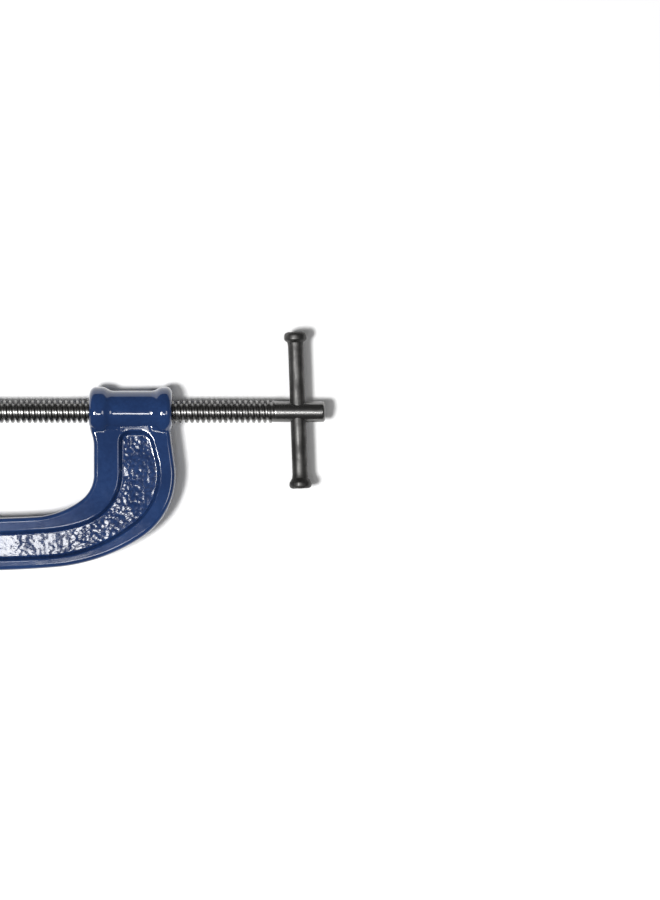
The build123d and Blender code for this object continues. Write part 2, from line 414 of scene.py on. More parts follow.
class Graph:
    """The node tree of one material, with a Principled shader at its end."""

    def __init__(self, name: str) -> None:
        """Starts a material that holds only its shader and output."""
        self.material = bpy.data.materials.new(name)
        self.material.use_nodes = True
        self.tree = self.material.node_tree
        self.tree.nodes.clear()
        self.shader = self.node("ShaderNodeBsdfPrincipled", {}, {})
        self.node("ShaderNodeOutputMaterial", {}, {"Surface": self.shader.outputs["BSDF"]})
        place = self.node("ShaderNodeTexCoord", {}, {})
        self.place = place.outputs["Object"]

    def node(self, kind: str, settings: dict, inputs: dict) -> bpy.types.Node:
        """Adds a node.

        Args:
            kind: the node's type.
            settings: its own settings, which are set first.
            inputs: a number, colour, Value or socket for each named or numbered input.

        Returns:
            The new node.
        """
        made = self.tree.nodes.new(kind)
        for key, setting in settings.items():
            setattr(made, key, setting)
        self.feed(made, inputs)
        return made

    def feed(self, node: bpy.types.Node, inputs: dict) -> None:
        """Links or sets a node's named or numbered inputs.

        Args:
            node: the node to feed.
            inputs: a number, colour, Value or socket for each input.
        """
        for key, given in inputs.items():
            if isinstance(given, Value):
                given = given.socket
            if isinstance(given, bpy.types.NodeSocket):
                self.tree.links.new(given, node.inputs[key])
            else:
                node.inputs[key].default_value = given

    def value(self, kind: str, settings: dict, inputs: dict, output: str | int = 0) -> Value:
        """Adds a node and wraps one of its outputs as a number."""
        return Value(self, self.node(kind, settings, inputs).outputs[output])

    def axes(self) -> tuple[Value, Value, Value]:
        """The object's own x, y and z."""
        parts = self.node("ShaderNodeSeparateXYZ", {}, {0: self.place})
        return tuple(Value(self, parts.outputs[axis]) for axis in range(3))

    def noise(self, grain: float, detail: float = 3.0, roughness: float = 0.55,
              stretch: tuple[float, float, float] = (1.0, 1.0, 1.0)) -> Value:
        """Noise whose features are about grain metres across.

        Args:
            grain: size of a feature.
            detail: number of finer layers.
            roughness: strength of the finer layers.
            stretch: how much longer the features are along x, y and z.

        Returns:
            The noise's factor, from 0 to 1.
        """
        scale = tuple(1.0 / (grain * length) for length in stretch)
        moved = self.node("ShaderNodeMapping", {}, {"Vector": self.place, "Scale": scale})
        inputs = {"Vector": moved.outputs[0], "Scale": 1.0, "Detail": detail, "Roughness": roughness}
        return self.value("ShaderNodeTexNoise", {}, inputs)

    def blend(self, share: Number, first: object, second: object) -> bpy.types.NodeSocket:
        """Mixes two colours.

        Args:
            share: how much of the second colour there is.
            first: a colour of three numbers, or a socket.
            second: the same.

        Returns:
            The mixed colour's socket.
        """
        first, second = ((*c, 1.0) if isinstance(c, tuple) else c for c in (first, second))
        mixed = self.node("ShaderNodeMix", {"data_type": "RGBA"}, {0: share, 6: first, 7: second})
        return mixed.outputs[2]

    def relief(self, height: Value, depth: float, strength: float = 1.0) -> bpy.types.NodeSocket:
        """A normal that follows a height of 0 to 1, which stands depth metres at 1."""
        bump = self.node("ShaderNodeBump", {}, {"Strength": strength, "Distance": depth, "Height": height})
        return bump.outputs[0]

    def finish(self, varying: dict, constant: dict) -> bpy.types.Material:
        """Feeds the shader.

        Args:
            varying: sockets, values or colours for what changes over the surface.
            constant: plain numbers or colours for the shader's other sockets.

        Returns:
            The finished material.
        """
        self.feed(self.shader, {**varying, **constant})
        return self.material


@dataclass(frozen=True)
class Enamel:
    """Gloss enamel over a casting, left bare on the anvil's face and inside the tapped boss."""

    deep: tuple[float, float, float] = (0.0106, 0.0295, 0.099)
    light: tuple[float, float, float] = (0.0162, 0.0455, 0.146)
    # painted shade: the dark colour laid in patches over the sunken web to darken its recess
    web_shade: tuple[float, float, float] = (0.0045, 0.012, 0.046)
    bare: tuple[float, float, float] = (0.36, 0.355, 0.345)
    face_radius: float = 18.6 * MM
    face_edge: float = -0.75 * MM
    bore_radius: float = 9.0 * MM
    bore_start: float = 165.0 * MM
    web_level: tuple[float, float] = (8.0 * MM, 5.0 * MM)
    ring_pitch: float = 0.42 * MM
    relief_depth: float = 0.14 * MM

    def material(self) -> bpy.types.Material:
        """Builds cloudy enamel with painted shade in dark patches over the sunken web, over turned faces
        left bare.

        Returns:
            The finished material.
        """
        g = Graph("deep_blue_enamel")
        x, y, z = g.axes()
        radius = (y * y + z * z) ** 0.5
        ragged = g.noise(1.1 * MM, 4.0)
        on_face = (x + (ragged - 0.5) * (0.9 * MM)).fade(self.face_edge, self.face_edge + 0.2 * MM)
        on_face = on_face * x.fade(9.0 * MM, 5.0 * MM)
        on_face = on_face * radius.fade(self.face_radius, self.face_radius - 0.2 * MM)
        in_bore = radius.fade(self.bore_radius + 0.25 * MM, self.bore_radius)
        in_bore = in_bore * x.fade(self.bore_start, self.bore_start + MM)
        bare = on_face + in_bore
        cloud = g.noise(38.0 * MM, 3.0, 0.5)
        speck = g.noise(2.4 * MM, 4.0, 0.6)
        tone = (cloud * 0.65 + speck * 0.35).fade(0.36, 0.66)
        low = z.size().fade(*self.web_level)
        # painted shade: noise patches, only on the sunken web between the flanges, darken that recess
        web_shade_patches = g.noise(1.8 * MM, 2.0, 0.5).fade(0.60, 0.38) * low * 0.5
        paint = g.blend(web_shade_patches, g.blend(tone, self.deep, self.light), self.web_shade)
        smear = g.noise(5.0 * MM, 5.0, 0.65).fade(0.35, 0.7)
        metal = g.blend(smear, self.bare, (0.20, 0.195, 0.19))
        colour = g.blend(bare, paint, metal)
        peel = g.noise(3.2 * MM, 2.0, 0.4)
        grain = g.noise(0.75 * MM, 3.0, 0.6)
        rings = (radius * (FULL_TURN / self.ring_pitch)).sine() * 0.5 + 0.5
        height = peel * 0.14 + grain * (low * 0.12 + 0.02) * (1.0 - bare) + rings * on_face * 0.10
        rough = (speck * 0.07 + cloud * 0.04 + low * 0.01 + 0.04) * (1.0 - bare)
        rough = rough + bare * (smear * 0.22 + 0.26)
        return g.finish(
            {"Base Color": colour, "Metallic": bare, "Roughness": rough, "Coat Weight": 1.0 - bare,
             "Normal": g.relief(height, self.relief_depth, 0.85)},
            {"IOR": 1.45, "Coat Roughness": 0.05, "Coat IOR": 1.43},
        )


@dataclass(frozen=True)
class ThreadSteel:
    """Dark oiled screw steel: crests and the plain end rubbed bright, roots dark with oil."""

    bright: tuple[float, float, float] = (0.25, 0.247, 0.242)
    dull: tuple[float, float, float] = (0.25, 0.247, 0.243)
    oily: tuple[float, float, float] = (0.130, 0.128, 0.125)
    root_radius: float = 6.2 * MM
    crest_radius: float = 7.7 * MM

    def material(self) -> bpy.types.Material:
        """Builds the steel from the distance to the axis, drawn round the screw by stretched noise.

        Returns:
            The finished material.
        """
        g = Graph("oiled_screw_steel")
        _, y, z = g.axes()
        radius = (y * y + z * z) ** 0.5
        patch = g.noise(9.0 * MM, 4.0, 0.6).fade(0.34, 0.68)
        fine = g.noise(0.9 * MM, 4.0, 0.65)
        drawn = g.noise(2.2 * MM, 3.0, 0.6, (0.08, 1.0, 1.0))
        worn = radius.fade(self.root_radius, self.crest_radius) * (patch * 0.55 + 0.45)
        worn = worn * (drawn * 0.6 + 0.62)
        dark = g.blend(patch, self.oily, self.dull)
        colour = g.blend(worn.fade(0.10, 0.95), dark, self.bright)
        rough = 0.32 - worn * 0.17 + fine * 0.08
        height = drawn * 0.6 + fine * 0.4
        return g.finish(
            {"Base Color": colour, "Roughness": rough, "Normal": g.relief(height, 0.035 * MM, 0.8)},
            {"Metallic": 1.0},
        )


@dataclass(frozen=True)
class BlackBar:
    """Hot-rolled round bar under a thin black scale, rubbed brighter in random patches."""

    scale: tuple[float, float, float] = (0.062, 0.061, 0.060)
    rubbed: tuple[float, float, float] = (0.125, 0.123, 0.12)

    def material(self) -> bpy.types.Material:
        """Builds the scale with long rolling streaks and small pits.

        Returns:
            The finished material.
        """
        g = Graph("black_bar_steel")
        patch = g.noise(14.0 * MM, 4.0, 0.6)
        streak = g.noise(1.3 * MM, 3.0, 0.55, (1.0, 14.0, 1.0))
        pit = g.noise(0.55 * MM, 3.0, 0.6)
        rub = (patch * 0.6 + streak * 0.4).fade(0.42, 0.66)
        colour = g.blend(rub, self.scale, self.rubbed)
        rough = 0.48 - rub * 0.09 + pit * 0.12
        height = streak * 0.55 + pit * 0.45
        return g.finish(
            {"Base Color": colour, "Roughness": rough, "Normal": g.relief(height, 0.07 * MM, 0.8)},
            {"Metallic": 1.0},
        )


@dataclass(frozen=True)
class PhosphatedSteel:
    """Grey phosphated forging whose front face is turned and rubbed bare."""

    face: float
    coat: tuple[float, float, float] = (0.085, 0.086, 0.088)
    pale: tuple[float, float, float] = (0.15, 0.152, 0.155)
    bare: tuple[float, float, float] = (0.42, 0.415, 0.405)
    ring_pitch: float = 0.38 * MM

    def material(self) -> bpy.types.Material:
        """Builds the crystalline coat, and turning rings where the face is bare.

        Returns:
            The finished material.
        """
        g = Graph("phosphated_shoe_steel")
        x, y, z = g.axes()
        radius = (y * y + z * z) ** 0.5
        grain = g.noise(0.5 * MM, 4.0, 0.7)
        patch = g.noise(7.0 * MM, 4.0, 0.6)
        bare = (x + (patch - 0.5) * (0.5 * MM)).fade(self.face + 0.55 * MM, self.face + 0.3 * MM)
        colour = g.blend(bare, g.blend(patch.fade(0.3, 0.7), self.coat, self.pale), self.bare)
        rings = (radius * (FULL_TURN / self.ring_pitch)).sine() * 0.5 + 0.5
        height = grain * (1.0 - bare * 0.8) * 0.7 + rings * bare * 0.3
        rough = (grain * 0.16 + 0.50) * (1.0 - bare) + (patch * 0.20 + 0.22) * bare
        return g.finish(
            {"Base Color": colour, "Roughness": rough, "Normal": g.relief(height, 0.06 * MM, 0.8)},
            {"Metallic": 1.0},
        )


@dataclass(frozen=True)
class SpringWire:
    """Drawn spring wire with a faint straw colour from tempering."""

    steel: tuple[float, float, float] = (0.36, 0.35, 0.33)
    straw: tuple[float, float, float] = (0.30, 0.24, 0.16)

    def material(self) -> bpy.types.Material:
        """Builds the wire's patchy temper colour and fine draw marks.

        Returns:
            The finished material.
        """
        g = Graph("spring_wire")
        temper = g.noise(4.0 * MM, 3.0, 0.5).fade(0.35, 0.7)
        marks = g.noise(0.3 * MM, 3.0, 0.6)
        return g.finish(
            {"Base Color": g.blend(temper, self.steel, self.straw), "Roughness": marks * 0.2 + 0.22,
             "Normal": g.relief(marks, 0.02 * MM, 0.6)},
            {"Metallic": 1.0},
        )


@dataclass(frozen=True)
class StudioPaper:
    """A plain, nearly white sheet."""

    tint: tuple[float, float, float] = (0.95, 0.95, 0.95)

    def material(self) -> bpy.types.Material:
        """Builds the sheet with the faintest unevenness.

        Returns:
            The finished material.
        """
        g = Graph("studio_paper")
        soft = g.noise(120.0 * MM, 2.0, 0.5)
        lifted = tuple(channel * 1.01 for channel in self.tint)
        sheen = {"Roughness": 0.9, "Specular IOR Level": 0.1}
        return g.finish({"Base Color": g.blend(soft, self.tint, lifted)}, sheen)


# ---------------------------------------------------------------------------------------------
# The casting


@dataclass(frozen=True)
class Rail:
    """An edge of the C in plan: tangent arcs from the spine's middle round to each arm, then a straight.

    Each arm holds arcs of (radius, angle in degrees), from the spine's middle outwards.
    """

    start: float
    boss_arcs: tuple[Point, ...]
    anvil_arcs: tuple[Point, ...]
    top: float = 0.0

    def half(self, arm: Arm, middle: float, step: float) -> np.ndarray:
        """Points of one half and the unit normals away from the throat.

        A point of an arc is its centre plus radius times (sin heading, -cos heading), and the
        outward normal is (sin heading, -cos heading) too.

        Args:
            arm: which half.
            middle: x of the spine's middle.
            step: distance between points.

        Returns:
            Rows of x, y, normal x and normal y, from the spine's middle to the arm's top.
        """
        at = np.array([middle, self.start])
        heading = 0.0
        rows = []
        for radius, angle in self.boss_arcs if arm is Arm.BOSS else self.anvil_arcs:
            turn = radians(angle)
            count = max(2, int(np.ceil(radius * turn / step)) + 1)
            along = heading + np.linspace(0.0, turn, count)
            centre = at + radius * np.array([-sin(heading), cos(heading)])
            normal = np.stack([np.sin(along), -np.cos(along)], axis=-1)
            rows.append(np.hstack([centre + radius * normal, normal])[:-1])
            heading += turn
            at = centre + radius * np.array([sin(heading), -cos(heading)])
        length = (self.top - at[1]) / sin(heading)
        along = np.linspace(0.0, length, max(2, int(np.ceil(length / step)) + 1))[:, None]
        straight = at + along * np.array([cos(heading), sin(heading)])
        normal = np.repeat([[sin(heading), -cos(heading)]], len(straight), axis=0)
        rows.append(np.hstack([straight, normal]))
        joined = np.concatenate(rows)
        if arm is Arm.ANVIL:
            joined[:, 0] = 2.0 * middle - joined[:, 0]
            joined[:, 2] *= -1.0
        return joined

    def whole(self, middle: float, step: float) -> np.ndarray:
        """Both halves as one run, from the anvil arm's top to the boss arm's top.

        Args:
            middle: x of the spine's middle.
            step: distance between points.

        Returns:
            Rows of x, y, normal x and normal y.
        """
        anvil = self.half(Arm.ANVIL, middle, step)
        boss = self.half(Arm.BOSS, middle, step)
        return np.concatenate([anvil[::-1], boss[1:]])


def crossings(rows: np.ndarray, edge: np.ndarray) -> np.ndarray:
    """How far along each row's normal it crosses an edge, by linear interpolation.

    Args:
        rows: x, y, normal x and normal y of each row.
        edge: x and y of the edge's points, in order.

    Returns:
        One signed distance for each row, the crossing nearest to the row's own point.
    """
    apart = edge[None, :, :2] - rows[:, None, :2]
    across = np.einsum("rek,rk->re", apart, rows[:, 2:])
    along = apart[..., 0] * rows[:, None, 3] - apart[..., 1] * rows[:, None, 2]
    changes = along[:, :-1] * along[:, 1:] <= 0.0
    nearest = np.where(changes, np.abs(across[:, :-1]), np.inf).argmin(axis=1)
    pick = np.arange(len(rows))
    a, b = along[pick, nearest], along[pick, nearest + 1]
    share = a / np.where(a == b, 1.0, a - b)
    return across[pick, nearest] * (1.0 - share) + across[pick, nearest + 1] * share


@dataclass
class Casting:
    """The cast frame: an I-section C whose flange rims are carried round the boss as collars."""

    middle: float = 85.0 * MM
    flange: float = 11.0 * MM
    web: float = 4.0 * MM
    edge_round: float = 3.0 * MM
    lip_round: float = 1.2 * MM
    root_round: float = 1.4 * MM
    wall_angle: float = radians(76.0)
    pocket_corner: float = 6.5 * MM
    pocket_top: tuple[float, float] = (-14.8 * MM, -19.0 * MM)
    row_step: float = 0.84 * MM
    bore_step: float = 0.4 * MM
    cap_height: tuple[float, float] = (-9.5 * MM, -8.0 * MM)
    boss_ends: tuple[float, float] = (170.0 * MM, 229.0 * MM)
    boss_lean: tuple[float, float] = (3.9 * MM, 1.6 * MM)
    boss_flare: float = 2.4 * MM
    anvil_flare: float = 2.6 * MM
    bore: float = 9.0 * MM
    collar: float = 17.8 * MM
    barrel: float = 15.0 * MM
    wall_reach: float = 2.1 * MM
    fillet: float = 0.8 * MM
    seam: float = 0.22 * MM
    seam_width: float = 0.55 * MM
    swell: float = 0.05 * MM
    drift: float = 0.07 * MM
    boss_wave: float = 0.10 * MM
    pebble_height: float = 0.30 * MM
    tilt: tuple[float, float] = (radians(2.2), radians(2.3))
    around: int = 96
    centre: Rail = field(init=False)
    edges: dict[str, Rail] = field(init=False)

    def __post_init__(self) -> None:
        """Sets the rails out, in millimetres and degrees, and turns them into metres."""
        self.centre = self._rail(-94.8, [(900.0, 3.5), (85.0, 38.0), (35.0, 48.5)],
                                 [(900.0, 3.5), (68.0, 38.0), (33.0, 48.5)])
        inner = [(882.0, 3.0), (60.8, 33.3), (22.6, 53.7)]
        self.edges = {
            "inner": self._rail(-76.0, inner, inner),
            "outer": self._rail(-113.3, [(733.0, 4.75), (132.0, 28.75), (52.7, 64.1)],
                                [(689.4, 4.75), (105.0, 30.0), (50.0, 72.0)]),
            "pocket_inner": self._rail(-86.7, [(771.0, 4.0), (110.0, 15.0), (37.4, 71.0)],
                                       [(720.0, 4.0), (98.0, 15.0), (36.0, 71.0)]),
            "pocket_outer": self._rail(-105.4, [(889.0, 3.6), (109.4, 36.0), (43.9, 65.2)],
                                       [(640.0, 4.75), (92.0, 30.0), (46.0, 72.0)]),
        }

    @staticmethod
    def _rail(start: float, boss: list[Point], anvil: list[Point]) -> Rail:
        """A rail from millimetres."""
        arcs = [tuple((radius * MM, angle) for radius, angle in half) for half in (boss, anvil)]
        return Rail(start * MM, arcs[0], arcs[1], 4.0 * MM)

    def _rows(self) -> np.ndarray:
        """Rows across the C at even steps along its centre line, from the anvil's arm to the boss's.

        Returns:
            x, y, normal x and normal y of each row.
        """
        line = self.centre.whole(self.middle, 0.2 * MM)
        in_boss = (line[:, 0] > self.middle) & (line[:, 1] > self.cap_height[0])
        in_anvil = (line[:, 0] < self.middle) & (line[:, 1] > self.cap_height[1])
        line = line[~(in_boss | in_anvil)]
        gone = np.concatenate([[0.0], np.cumsum(np.linalg.norm(np.diff(line[:, :2], axis=0), axis=1))])
        wanted = np.linspace(0.0, gone[-1], int(gone[-1] / self.row_step))
        rows = np.stack([np.interp(wanted, gone, line[:, k]) for k in range(4)], axis=-1)
        rows[:, 2:] /= np.linalg.norm(rows[:, 2:], axis=1, keepdims=True)
        return rows

    def _wall(self, inside: np.ndarray) -> np.ndarray:
        """Depth of the pocket from 0 to 1: an arc over the lip, a sloping wall, and an arc into the web.

        Args:
            inside: distance in from the middle of the wall.

        Returns:
            The share of the pocket's depth.
        """
        depth = self.flange - self.web
        lip, root, angle = self.lip_round, self.root_round, self.wall_angle
        slope_drop = depth - (lip + root) * (1.0 - cos(angle))
        run = slope_drop / tan(angle)
        start = -run / 2.0 - lip * sin(angle)
        end = run / 2.0 + root * sin(angle)
        over_lip = lip - np.sqrt(np.clip(lip**2 - (inside - start) ** 2, 0.0, None))
        down = lip * (1.0 - cos(angle)) + (inside + run / 2.0) * tan(angle)
        into_root = depth - root + np.sqrt(np.clip(root**2 - (end - inside) ** 2, 0.0, None))
        drop = np.where(inside < -run / 2.0, over_lip, np.where(inside < run / 2.0, down, into_root))
        drop = np.where(inside <= start, 0.0, np.where(inside >= end, depth, drop))
        return drop / depth

    def _columns(self, bounds: dict[str, np.ndarray]) -> np.ndarray:
        """Offsets of a side's points on each row, close together on the roundings and walls.

        Args:
            bounds: the edges' offsets.

        Returns:
            One row of offsets for each row, from the inner edge to the outer edge.
        """
        reach = self.wall_reach
        arc = 1.0 - np.cos(np.radians([0.0, 15.0, 30.0, 45.0, 60.0, 73.0, 83.0, 90.0]))
        flat = np.array([0.0, 0.05, 0.5, 1.0])
        marks = [
            bounds["inner"], bounds["inner"] + self.edge_round, bounds["pocket_inner"] - reach,
            bounds["pocket_inner"] + reach, bounds["pocket_outer"] - reach, bounds["pocket_outer"] + reach,
            bounds["outer"] - self.edge_round, bounds["outer"],
        ]
        wall = np.linspace(0.0, 1.0, 14)
        shares = [arc, flat, wall, np.linspace(0.0, 1.0, 29), wall, 1.0 - flat[::-1], 1.0 - arc[::-1]]
        parts = []
        for low, high, share in zip(marks, marks[1:], shares):
            parts.append(low[:, None] + (high - low)[:, None] * share[None, :-1])
        parts.append(marks[-1][:, None])
        return np.concatenate(parts, axis=1)

    def _boss_path(self) -> np.ndarray:
        """The boss's outer profile, from its inner face to its outer face.

        Returns:
            Rows of x and radius.
        """
        low, high = self.boss_ends
        corner, waist = 4.5 * MM, 7.5 * MM
        points = [(low, self.bore), (low, self.collar), (180.5 * MM, self.collar),
                  (185.0 * MM, self.barrel), (216.0 * MM, self.barrel), (220.5 * MM, self.collar),
                  (high, self.collar), (high, self.bore)]
        return rounded_path(points, [corner, *4 * [waist], corner], radians(9.0))

    def _anvil_path(self) -> np.ndarray:
        """The anvil's outer profile, from its face to its rounded back.

        Returns:
            Rows of x and radius.
        """
        points = [(0.0, 0.0), (0.0, self.collar), (-8.5 * MM, self.collar), (-13.0 * MM, self.barrel),
                  (-36.0 * MM, self.barrel), (-36.0 * MM, 0.0)]
        return rounded_path(points, [1.0 * MM, 4.0 * MM, 4.0 * MM, 11.0 * MM], radians(9.0))

    @staticmethod
    def _round_height(path: np.ndarray, x: np.ndarray, y: np.ndarray) -> np.ndarray:
        """Height of a turned surface above the C's middle plane: sqrt(radius^2 - y^2), or below it.

        Args:
            path: half profile of x and radius.
            x: plan coordinate.
            y: plan coordinate.

        Returns:
            The height at each point, negative outside the surface.
        """
        order = np.argsort(path[:, 0], kind="stable")
        radius = np.interp(x, path[order, 0], path[order, 1])
        gap = radius**2 - y**2
        return np.sign(gap) * np.sqrt(np.abs(gap))

    def _beam(self) -> bpy.types.Object:
        """The I-section C: two height fields over its plan, which meet at the mould's parting line.

        Returns:
            The beam as a closed mesh.
        """
        rows = self._rows()
        bounds = {name: crossings(rows, rail.whole(self.middle, 0.4 * MM))
                  for name, rail in self.edges.items()}
        level = rows[:, 1]
        at_boss = rows[:, 0] > self.middle
        anvil_flare = self.anvil_flare * fade(-25.0 * MM, -13.0 * MM, level) ** 2
        boss_flare = self.boss_flare * fade(-27.0 * MM, -11.0 * MM, level) ** 2
        bounds["inner"] = bounds["inner"] - np.where(at_boss, boss_flare, anvil_flare)
        offset = self._columns(bounds)
        x = rows[:, :1] + rows[:, 2:3] * offset
        y = rows[:, 1:2] + rows[:, 3:4] * offset
        from_inner = offset - bounds["inner"][:, None]
        from_outer = bounds["outer"][:, None] - offset
        rim = np.clip(self.edge_round - np.minimum(from_inner, from_outer), 0.0, self.edge_round)
        solid = self.flange - self.edge_round + np.sqrt(self.edge_round**2 - rim**2)
        first = bounds["pocket_inner"][:, None]
        last = bounds["pocket_outer"][:, None]
        side_in = np.minimum(offset - first, last - offset)
        top_in = np.where(at_boss, self.pocket_top[0], self.pocket_top[1])[:, None] - y
        corner = self.pocket_corner
        rounded = corner - np.hypot(np.maximum(corner - side_in, 0.0), np.maximum(corner - top_in, 0.0))
        inside = np.minimum(np.minimum(side_in, top_in), rounded)
        sunk = self._wall(inside)
        across = np.clip((offset - first) / (last - first), 0.0, 1.0)
        fall = tan(self.tilt[0]) * (np.minimum(offset, first) - bounds["inner"][:, None]) * (1.0 - across)
        fall += tan(self.tilt[1]) * np.maximum(offset - last, 0.0)
        solid = solid - fall * (1.0 - sunk)
        halves = []
        for sign in (1.0, -1.0):
            height = solid - (self.flange - self.web) * sunk
            height += self._skin(x, y, sunk, sign)
            height = self._melt(height, x, y, at_boss[:, None])
            halves.append(height)
        return self._section_mesh(rows, bounds, offset, halves)

    def _skin(self, x: np.ndarray, y: np.ndarray, sunk: np.ndarray, sign: float) -> np.ndarray:
        """Relief of the cast skin: pebbles on the web, lower at the spine's middle, and a faint swell.

        Args:
            x: plan coordinate.
            y: plan coordinate.
            sunk: 1 on the web, 0 on the flanges.
            sign: which side of the parting line.

        Returns:
            Heights to add.
        """
        seed = 3 if sign > 0 else 11
        here = np.stack([x, y, np.full_like(x, 0.3 * sign)], axis=-1)
        swell = value_noise(here, 13.0 * MM, seed) * self.swell
        lumps = 0.7 * pebbles(x, y, 2.7 * MM, seed) + 0.3 * pebbles(x, y, 1.7 * MM, seed + 1)
        patchy = 0.65 + 0.35 * value_noise(here, 9.0 * MM, seed + 2)
        drift = value_noise(here, 5.0 * MM, seed + 4) * self.drift
        share = 0.35 + 0.65 * fade(66.0 * MM, 90.0 * MM, np.abs(x - self.middle))
        return swell + fade(0.72, 1.0, sunk) * (lumps * patchy * self.pebble_height + drift) * share

    def _melt(self, height: np.ndarray, x: np.ndarray, y: np.ndarray, at_boss: np.ndarray) -> np.ndarray:
        """Fillets a side of the C into the boss and the anvil, and sinks it under their skins beyond.

        Args:
            height: the side's own height.
            x: plan coordinate.
            y: plan coordinate.
            at_boss: whether a row belongs to the boss's arm.

        Returns:
            The blended height.
        """
        boss = self._round_height(self._boss_path(), x, y)
        anvil = self._round_height(self._anvil_path(), x, y)
        sink = 0.55 * MM * fade(-16.0 * MM, -12.0 * MM, y) + 1.2 * MM * fade(-12.0 * MM, -9.0 * MM, y)
        goal = np.where(at_boss, boss, anvil) - sink
        near = fade(-32.0 * MM, -24.0 * MM, y)
        return height + near * (soft_max(height, goal, self.fillet) - height)

    def _section_mesh(self, rows: np.ndarray, bounds: dict[str, np.ndarray], offset: np.ndarray,
                      halves: list[np.ndarray]) -> bpy.types.Object:
        """Closes both sides into rings round the section, with the parting line's seam on each wall.

        Args:
            rows: the rows across the C.
            bounds: the edges' offsets.
            offset: the columns' offsets.
            halves: heights of the upper and the lower side.

        Returns:
            The beam as a closed mesh.
        """
        steps = np.array([0.0, 0.05, 0.10, 0.17, 0.3, 0.5, 0.7, 0.86])
        rings = []
        for sign, height in zip((1.0, -1.0), halves):
            walls = []
            sides = (("inner", height[:, :1], -1.0), ("outer", height[:, -1:], 1.0))
            for name, edge_height, outward in sides:
                z = edge_height * steps
                bead = self.seam * (np.exp(-((z / self.seam_width) ** 2)) - 1.0) * outward
                walls.append((bounds[name][:, None] + bead, z))
            run = np.concatenate([walls[0][0], offset, walls[1][0][:, ::-1]], axis=1)
            rise = np.concatenate([walls[0][1], height, walls[1][1][:, ::-1]], axis=1) * sign
            rings.append((run, rise) if sign > 0 else (run[:, -2:0:-1], rise[:, -2:0:-1]))
        run = np.concatenate([rings[0][0], rings[1][0]], axis=1)
        rise = np.concatenate([rings[0][1], rings[1][1]], axis=1)
        x = rows[:, :1] + rows[:, 2:3] * run
        y = rows[:, 1:2] + rows[:, 3:4] * run
        return tube_object("beam", np.stack([x, y, rise], axis=-1))

    def _boss(self, screw: "LeadScrew") -> bpy.types.Object:
        """The boss: outer profile, faces and tapped bore as one looped skin round the screw's axis.

        Args:
            screw: gives the thread that the bore is tapped for.

        Returns:
            The boss as a closed mesh.
        """
        outer = spread(self._boss_path(), 1.6 * MM)
        low, high = outer[0, 0], outer[-1, 0]
        bore = np.arange(high - MM, low + MM, -self.bore_step)
        angle = np.arange(self.around) * FULL_TURN / self.around
        grid_x, grid_a = np.meshgrid(bore, angle, indexing="ij")
        tapped = screw.thread_radius(grid_x, grid_a, screw.clearance)
        skin = turned_rings(outer, self.around)
        wave = value_noise(skin, 12.0 * MM, 21) * self.boss_wave
        radius = np.linalg.norm(skin[..., 1:], axis=-1)
        skin[..., 1:] *= ((radius + np.minimum(wave, 0.04 * MM)) / radius)[..., None]
        hole = np.stack([grid_x, tapped * np.cos(grid_a), tapped * np.sin(grid_a)], axis=-1)
        rings = np.concatenate([skin, hole])
        below = fade(9.0 * MM, 15.5 * MM, -rings[..., 1])
        rings[..., 0] += self.boss_lean[0] * below * fade(12.0 * MM, 0.0, rings[..., 0] - low)
        rings[..., 0] -= self.boss_lean[1] * below * fade(10.0 * MM, 0.0, high - rings[..., 0])
        return tube_object("boss", rings, loop=True)

    def _anvil(self) -> bpy.types.Object:
        """The anvil's boss, turned about the screw's axis, with a flat face.

        Returns:
            The anvil as a closed mesh.
        """
        path = spread(self._anvil_path(), 1.6 * MM)[1:-1]
        rings = turned_rings(path, self.around)
        radius = np.linalg.norm(rings[..., 1:], axis=-1)
        wave = np.minimum(value_noise(rings, 12.0 * MM, 31), 0.3) * self.boss_wave
        wave *= fade(0.0, -3.0 * MM, rings[..., 0])
        rings[..., 1:] *= ((radius + wave) / radius)[..., None]
        return tube_object("anvil", rings[::-1])

    def build(self, screw: "LeadScrew") -> bpy.types.Object:
        """Joins beam, boss and anvil into one closed skin and dresses it.

        Args:
            screw: gives the thread of the bore.

        Returns:
            The finished casting.
        """
        piece = join_solids("cast_frame", self._beam(), [self._boss(screw), self._anvil()], "UNION")
        smooth(piece, radians(42.0))
        piece.data.materials.clear()
        piece.data.materials.append(Enamel().material())
        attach(piece, "frame")
        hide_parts("frame")
        return piece


# ---------------------------------------------------------------------------------------------
# The screw train


